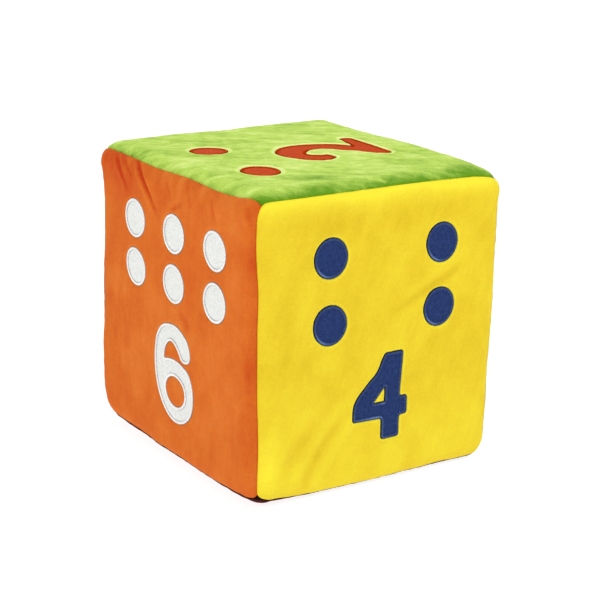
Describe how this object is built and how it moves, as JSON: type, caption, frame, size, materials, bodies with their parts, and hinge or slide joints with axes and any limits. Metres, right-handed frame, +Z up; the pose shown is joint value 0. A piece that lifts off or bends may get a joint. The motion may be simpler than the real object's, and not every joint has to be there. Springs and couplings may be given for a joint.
{
  "type": "giant yard dice",
  "caption": "Large soft cube die for lawn games: foam core in a sewn plush cover, with stitched-on dots and a numeral on every face.",
  "frame": {"origin": "centre of the face that the die rests on, at the floor", "axes": "+Z up through the two face, -Y out of the four face, -X out of the six face"},
  "size_m": [0.3, 0.3, 0.3],
  "materials": {
    "yellow_plush": "matte",
    "orange_plush": "matte",
    "green_plush": "matte",
    "blue_plush": "matte",
    "purple_plush": "matte",
    "red_plush": "matte",
    "blue_patch": "matte",
    "blue_stitching": "matte",
    "white_patch": "matte",
    "white_stitching": "matte",
    "red_patch": "matte",
    "red_stitching": "matte",
    "yellow_patch": "matte",
    "yellow_stitching": "matte",
    "backing": "matte",
    "seam_thread": "matte",
    "foam": "matte"
  },
  "bodies": {
    "root": {"panel_one": "purple_plush", "numeral_patch_one": "yellow_patch", "numeral_border_one": "yellow_stitching", "dot_patch_one_1": "yellow_patch", "dot_borders_one": "yellow_stitching", "backing_one": "backing", "panel_two": "green_plush", "numeral_patch_two": "red_patch", "numeral_border_two": "red_stitching", "dot_patch_two_1": "red_patch", "dot_patch_two_2": "red_patch", "dot_borders_two": "red_stitching", "backing_two": "backing", "panel_three": "blue_plush", "numeral_patch_three": "yellow_patch", "numeral_border_three": "yellow_stitching", "dot_patch_three_1": "yellow_patch", "dot_patch_three_2": "yellow_patch", "dot_patch_three_3": "yellow_patch", "dot_borders_three": "yellow_stitching", "backing_three": "backing", "panel_four": "yellow_plush", "numeral_patch_four": "blue_patch", "numeral_border_four": "blue_stitching", "dot_patch_four_1": "blue_patch", "dot_patch_four_2": "blue_patch", "dot_patch_four_3": "blue_patch", "dot_patch_four_4": "blue_patch", "dot_borders_four": "blue_stitching", "backing_four": "backing", "panel_five": "red_plush", "numeral_patch_five": "white_patch", "numeral_border_five": "white_stitching", "dot_patch_five_1": "white_patch", "dot_patch_five_2": "white_patch", "dot_patch_five_3": "white_patch", "dot_patch_five_4": "white_patch", "dot_patch_five_5": "white_patch", "dot_borders_five": "white_stitching", "backing_five": "backing", "panel_six": "orange_plush", "numeral_patch_six": "white_patch", "numeral_border_six": "white_stitching", "dot_patch_six_1": "white_patch", "dot_patch_six_2": "white_patch", "dot_patch_six_3": "white_patch", "dot_patch_six_4": "white_patch", "dot_patch_six_5": "white_patch", "dot_patch_six_6": "white_patch", "dot_borders_six": "white_stitching", "backing_six": "backing", "top_seam_threads": "seam_thread", "upright_seam_threads": "seam_thread", "bottom_seam_threads": "seam_thread", "closing_thread": "seam_thread", "foam_core": "foam"}
  },
  "joints": []
}
